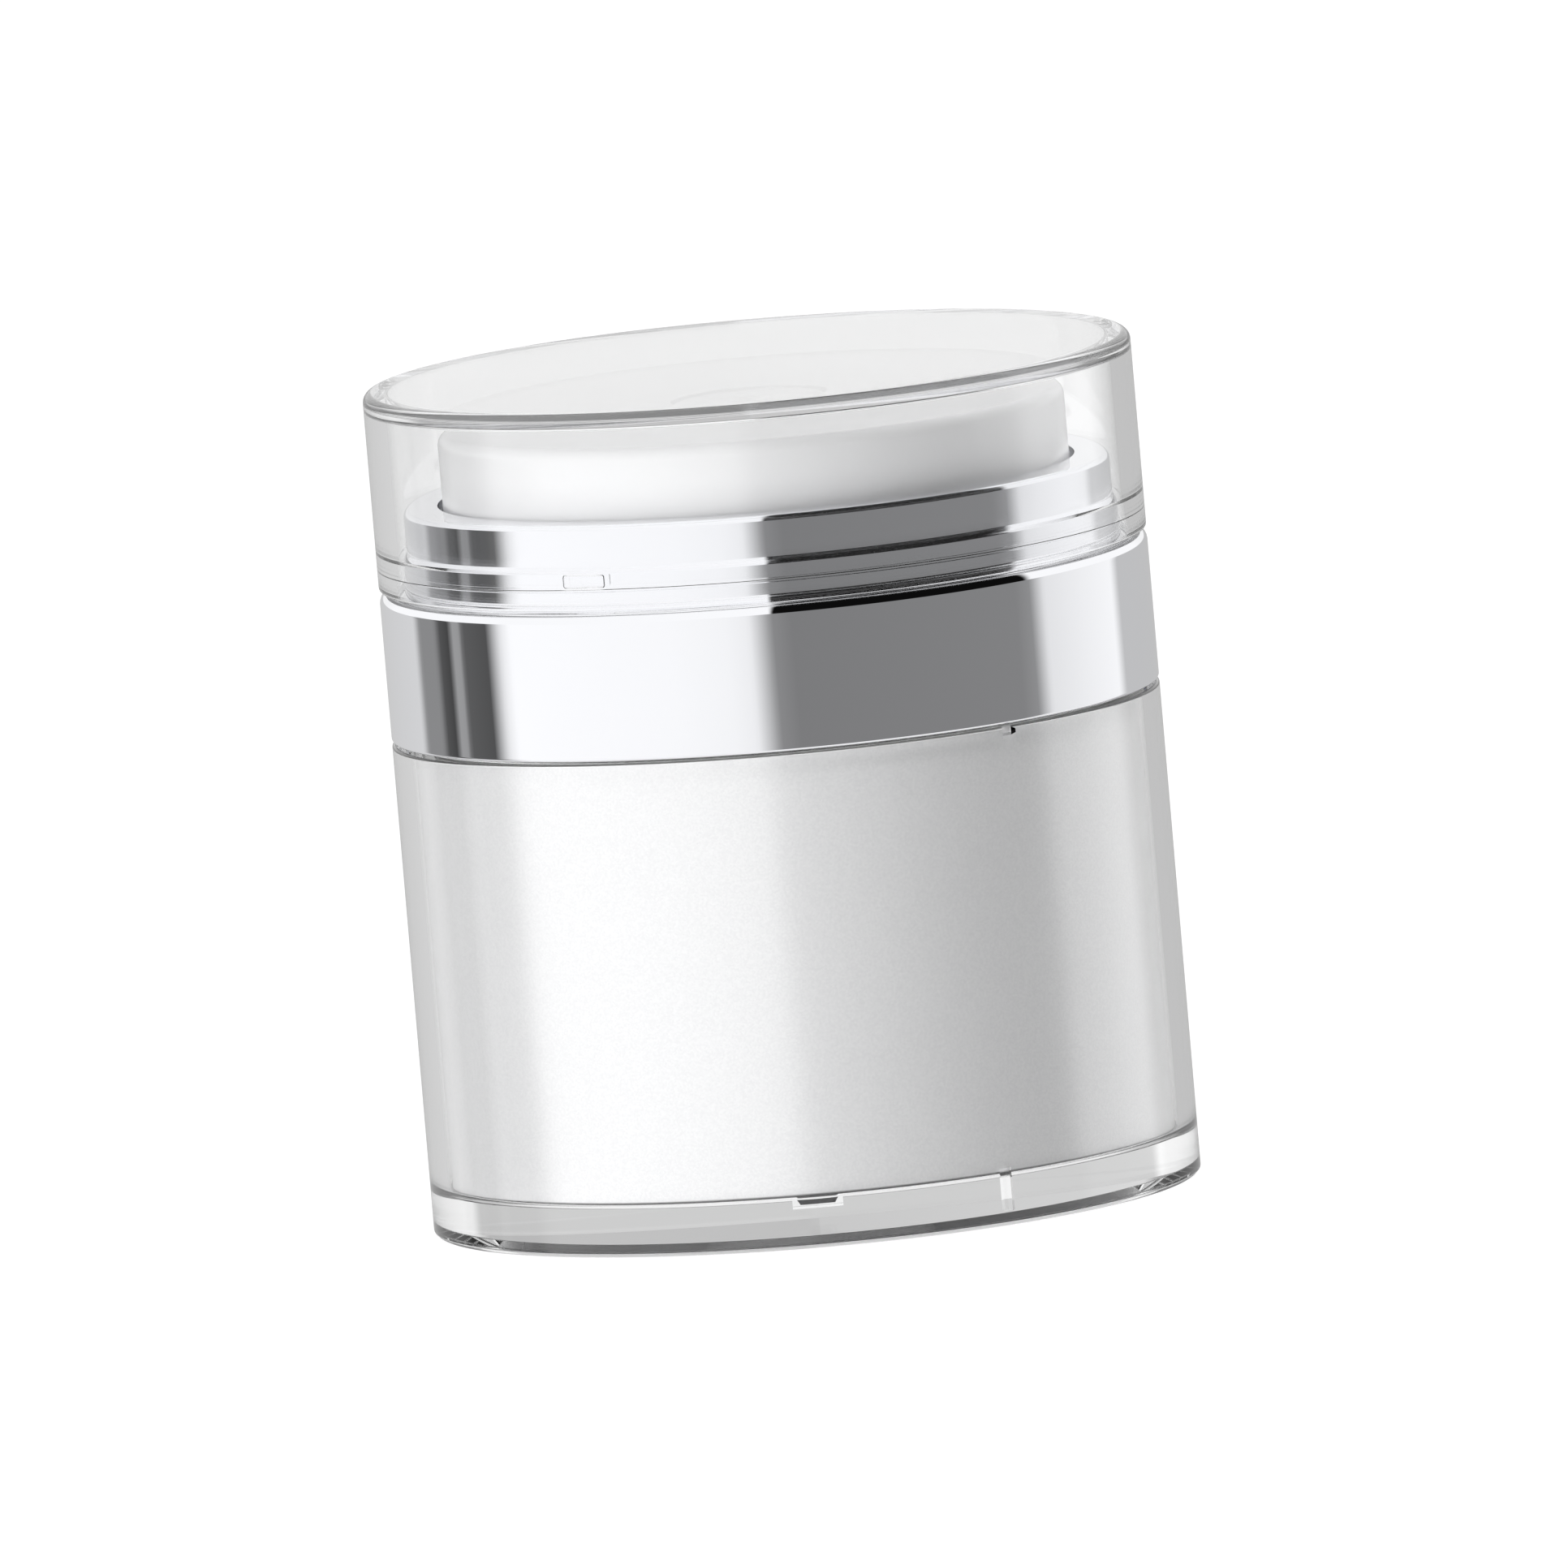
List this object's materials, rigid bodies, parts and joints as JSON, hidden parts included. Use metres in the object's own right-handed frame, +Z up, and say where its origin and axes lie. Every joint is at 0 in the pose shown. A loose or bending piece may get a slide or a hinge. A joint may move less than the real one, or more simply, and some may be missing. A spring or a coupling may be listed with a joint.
{
  "type": "airless jar",
  "caption": "Cylindrical airless cosmetic jar with a clear overcap, a white press plate in a mirror-metallised collar, and a pearl white double-walled body.",
  "frame": {"origin": "middle of the base, on the plane the jar stands on", "axes": "+Z up along the jar's axis, -Y towards the side the picture shows"},
  "size_m": [0.062, 0.062, 0.0683],
  "materials": {
    "clear_acrylic": "clear polished acrylic",
    "pearl_white": "pearl white satin plastic",
    "gloss_white": "glossy white moulded plastic",
    "white_plastic": "plain white moulded polypropylene",
    "natural_plastic": "natural translucent polyethylene or polypropylene",
    "metallised": "vacuum-metallised mirror silver on plastic",
    "silicone": "pale silicone rubber",
    "black_seal": "black rubber",
    "spring_steel": "bright stainless spring wire"
  },
  "bodies": {
    "jar": {"outer_jar": "clear_acrylic", "liner_sleeve": "pearl_white", "inner_cup": "white_plastic"},
    "follower": {"follower_piston": "natural_plastic"},
    "gasket": {"cup_gasket": "silicone"},
    "head": {"pump_carrier": "white_plastic", "cylinder_seal": "black_seal", "pump_cylinder": "natural_plastic", "valve_cage": "white_plastic", "lock_bush": "white_plastic", "thread_sleeve": "white_plastic", "collar": "metallised", "return_spring": "spring_steel"},
    "inlet": {"inlet_valve": "silicone"},
    "actuator": {"press_plate": "gloss_white", "outlet_valve": "silicone", "orifice_insert": "gloss_white", "stem": "white_plastic", "stem_plug": "white_plastic", "pump_piston": "natural_plastic"},
    "cap": {"overcap": "clear_acrylic"}
  },
  "joints": [
    {"name": "follower_rise", "type": "slide", "parent": "jar", "child": "follower", "axis": [0, 0, 1], "range_m": [0, 0.024]},
    {"name": "head_lift", "type": "slide", "parent": "jar", "child": "gasket", "axis": [0, 0, 1], "range_m": [0, 0.00375]},
    {"name": "head_turn", "type": "hinge", "parent": "gasket", "child": "head", "pos_m": [0, 0, 0.0431], "axis": [0, 0, 1], "range_deg": [0, 540]},
    {"name": "inlet_open", "type": "slide", "parent": "head", "child": "inlet", "axis": [0, 0, 1], "range_m": [0, 0.0008]},
    {"name": "press", "type": "slide", "parent": "head", "child": "actuator", "axis": [0, 0, -1], "range_m": [0, 0.0045], "stiffness_N_per_m": 900, "springref_m": -0.0045, "deforming": ["return_spring"]},
    {"name": "cap_lift", "type": "slide", "parent": "head", "child": "cap", "axis": [0, 0, 1], "range_m": [0, 0.024]}
  ],
  "couplings": [
    {"joint": "head_lift", "follows": "head_turn", "m_per_rad": 0.00039789}
  ]
}
